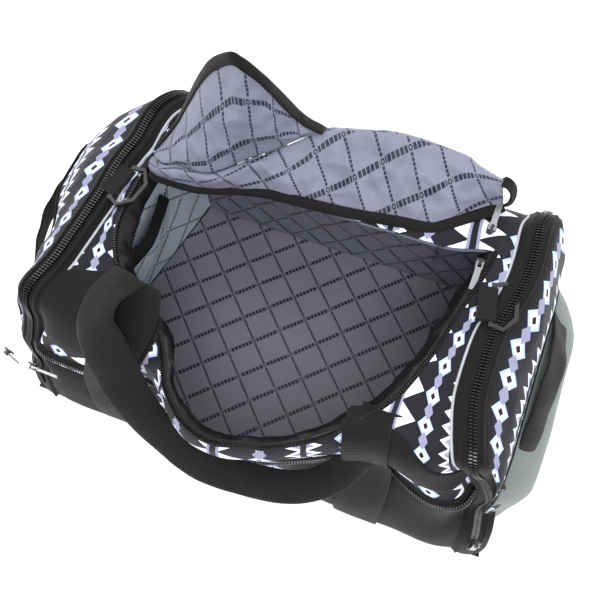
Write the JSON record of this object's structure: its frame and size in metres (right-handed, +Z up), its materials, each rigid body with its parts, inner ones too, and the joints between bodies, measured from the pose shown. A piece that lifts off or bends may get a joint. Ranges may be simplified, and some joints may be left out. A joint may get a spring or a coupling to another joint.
{
  "type": "soft sports gear bag",
  "caption": "Soft rectangular gear bag with a thrown-back zipped lid, zipped end and front pockets, webbing carry handles, grab handles and strap rings.",
  "frame": {"origin": "middle of the flat base", "axes": "+X along the bag to its right end, +Y to the back, +Z up"},
  "size_m": [0.6186, 0.3627, 0.3928],
  "materials": {
    "printed_fabric": "woven polyester, printed",
    "lining_fabric": "smooth taffeta lining, printed lattice",
    "black_fabric": "woven nylon",
    "black_webbing": "ribbed webbing",
    "gray_fabric": "plain woven polyester",
    "mesh_fabric": "air mesh",
    "zip_tape": "woven zip tape",
    "zip_coil": "nylon coil",
    "board": "stiff sheet",
    "ring_plastic": "moulded",
    "slider_metal": "dark plated",
    "pull_metal": "dark plated, satin"
  },
  "bodies": {
    "bag": {"base_panel": "black_fabric", "base_board": "board", "floor_lining": "lining_fabric", "front_wall": "printed_fabric", "back_wall": "printed_fabric", "left_end_wall": "lining_fabric", "right_end_wall": "lining_fabric", "left_top_panel": "printed_fabric", "right_top_panel": "printed_fabric", "front_top_panel": "printed_fabric", "back_top_panel": "printed_fabric", "main_zip_tape": "zip_tape", "main_zip_coil": "zip_coil", "rim_facing": "zip_tape", "left_zip_tape": "zip_tape", "left_zip_coil": "zip_coil", "left_end_gusset": "printed_fabric", "left_end_cap": "gray_fabric", "right_zip_tape": "zip_tape", "right_zip_coil": "zip_coil", "right_end_gusset": "printed_fabric", "right_end_cap": "gray_fabric", "end_piping": "black_fabric", "front_pocket_panel": "mesh_fabric", "front_pocket_zip": "zip_tape", "front_corner_patches": "black_fabric", "lid_hinge_binding": "black_fabric", "front_handle_anchors": "black_webbing", "rear_handle_anchors": "black_webbing", "grab_anchors": "black_webbing", "ring_tabs": "black_webbing", "inner_back_pocket": "lining_fabric", "inner_back_zip": "zip_tape", "inner_side_pocket": "lining_fabric", "side_pocket_band": "black_fabric"},
    "lid_rear": {"lid_rear_panel": "lining_fabric", "lid_rear_zip": "zip_tape"},
    "lid_front": {"lid_front_panel": "lining_fabric", "lid_front_zip": "zip_tape"},
    "lid_corner": {"lid_corner_panel": "lining_fabric", "lid_corner_zip": "zip_tape"},
    "front_handle": {"front_handle": "black_webbing"},
    "rear_handle": {"rear_handle": "black_webbing"},
    "left_grab": {"left_grab_handle": "black_webbing"},
    "right_grab": {"right_grab_handle": "black_webbing"},
    "left_ring": {"left_ring": "ring_plastic"},
    "right_ring": {"right_ring": "ring_plastic"},
    "left_end_slider": {"left_end_slider": "slider_metal"},
    "left_end_pull": {"left_end_pull": "pull_metal"},
    "right_end_slider": {"right_end_slider": "slider_metal"},
    "right_end_pull": {"right_end_pull": "pull_metal"},
    "main_rear_slider": {"main_rear_slider": "slider_metal"},
    "main_rear_pull": {"main_rear_pull": "pull_metal"},
    "main_front_slider": {"main_front_slider": "slider_metal"},
    "main_front_pull": {"main_front_pull": "pull_metal"},
    "front_pocket_slider": {"front_pocket_slider": "slider_metal"},
    "front_pocket_pull": {"front_pocket_pull": "pull_metal"},
    "inner_pocket_slider": {"inner_pocket_slider": "slider_metal"},
    "inner_pocket_pull": {"inner_pocket_pull": "pull_metal"}
  },
  "joints": [
    {"name": "lid_hinge", "type": "hinge", "parent": "bag", "child": "lid_rear", "pos_m": [0, 0.078, 0.23603], "axis": [1, 0, 0], "range_deg": [0, 147.32]},
    {"name": "lid_front_fold", "type": "hinge", "parent": "lid_rear", "child": "lid_front", "pos_m": [0, 0.14677, 0.28069], "axis": [1, 0, 0], "range_deg": [0, 110.74]},
    {"name": "lid_corner_fold", "type": "hinge", "parent": "lid_rear", "child": "lid_corner", "pos_m": [0, 0.14677, 0.28069], "axis": [1, 0, 0], "range_deg": [-77.42, 0]},
    {"name": "front_handle_lift", "type": "hinge", "parent": "bag", "child": "front_handle", "pos_m": [0, -0.163, 0.218], "axis": [1, 0, 0], "range_deg": [-165, 0]},
    {"name": "rear_handle_lift", "type": "hinge", "parent": "bag", "child": "rear_handle", "pos_m": [0, 0.1585, 0.152], "axis": [1, 0, 0], "range_deg": [0, 80]},
    {"name": "left_grab_lift", "type": "hinge", "parent": "bag", "child": "left_grab", "pos_m": [-0.2955, 0, 0.168], "axis": [0, 1, 0], "range_deg": [0, 95]},
    {"name": "right_grab_lift", "type": "hinge", "parent": "bag", "child": "right_grab", "pos_m": [0.2955, 0, 0.168], "axis": [0, -1, 0], "range_deg": [0, 95]},
    {"name": "left_ring_flip", "type": "hinge", "parent": "bag", "child": "left_ring", "pos_m": [-0.19519, 0.03, 0.23924], "axis": [0.19, 0.9818, 0], "range_deg": [-160, 0]},
    {"name": "right_ring_flip", "type": "hinge", "parent": "bag", "child": "right_ring", "pos_m": [0.19719, 0.03, 0.23924], "axis": [-0.19, 0.9818, 0], "range_deg": [-160, 0]},
    {"name": "left_end_zip_slide", "type": "slide", "parent": "bag", "child": "left_end_slider", "axis": [0, 0, 1], "range_m": [0, 0.03]},
    {"name": "left_end_pull_swing", "type": "hinge", "parent": "left_end_slider", "child": "left_end_pull", "pos_m": [-0.2663, -0.15737, 0.14], "axis": [-0.9818, 0.19, 0], "range_deg": [0, 150]},
    {"name": "right_end_zip_slide", "type": "slide", "parent": "bag", "child": "right_end_slider", "axis": [0, 0, 1], "range_m": [0, 0.09]},
    {"name": "right_end_pull_swing", "type": "hinge", "parent": "right_end_slider", "child": "right_end_pull", "pos_m": [0.2663, -0.15737, 0.0755], "axis": [-0.9818, -0.19, 0], "range_deg": [0, 150]},
    {"name": "main_rear_slide", "type": "slide", "parent": "bag", "child": "main_rear_slider", "axis": [0, -0.9983, -0.058], "range_m": [0, 0.012]},
    {"name": "main_rear_pull_swing", "type": "hinge", "parent": "main_rear_slider", "child": "main_rear_pull", "pos_m": [0.1745, 0.10665, 0.2432], "axis": [1, 0, 0], "range_deg": [0, 150]},
    {"name": "main_front_slide", "type": "slide", "parent": "bag", "child": "main_front_slider", "axis": [0, -0.9983, -0.058], "range_m": [0, 0.06]},
    {"name": "main_front_pull_swing", "type": "hinge", "parent": "main_front_slider", "child": "main_front_pull", "pos_m": [0.1745, 0.06865, 0.241], "axis": [1, 0, 0], "range_deg": [-150, 0]},
    {"name": "front_pocket_slide", "type": "slide", "parent": "bag", "child": "front_pocket_slider", "axis": [1, 0, 0], "range_m": [0, 0.035]},
    {"name": "front_pocket_pull_swing", "type": "hinge", "parent": "front_pocket_slider", "child": "front_pocket_pull", "pos_m": [-0.227, -0.164, 0.149], "axis": [0, 0, -1], "range_deg": [0, 150]},
    {"name": "inner_pocket_slide", "type": "slide", "parent": "bag", "child": "inner_pocket_slider", "axis": [1, 0, 0], "range_m": [0, 0.06]},
    {"name": "inner_pocket_pull_swing", "type": "hinge", "parent": "inner_pocket_slider", "child": "inner_pocket_pull", "pos_m": [0.044, 0.144, 0.1825], "axis": [0, 0, -1], "range_deg": [0, 150]}
  ],
  "couplings": [
    {"joint": "lid_front_fold", "follows": "lid_hinge", "ratio": 0.7517},
    {"joint": "lid_corner_fold", "follows": "lid_hinge", "ratio": -0.52552}
  ]
}
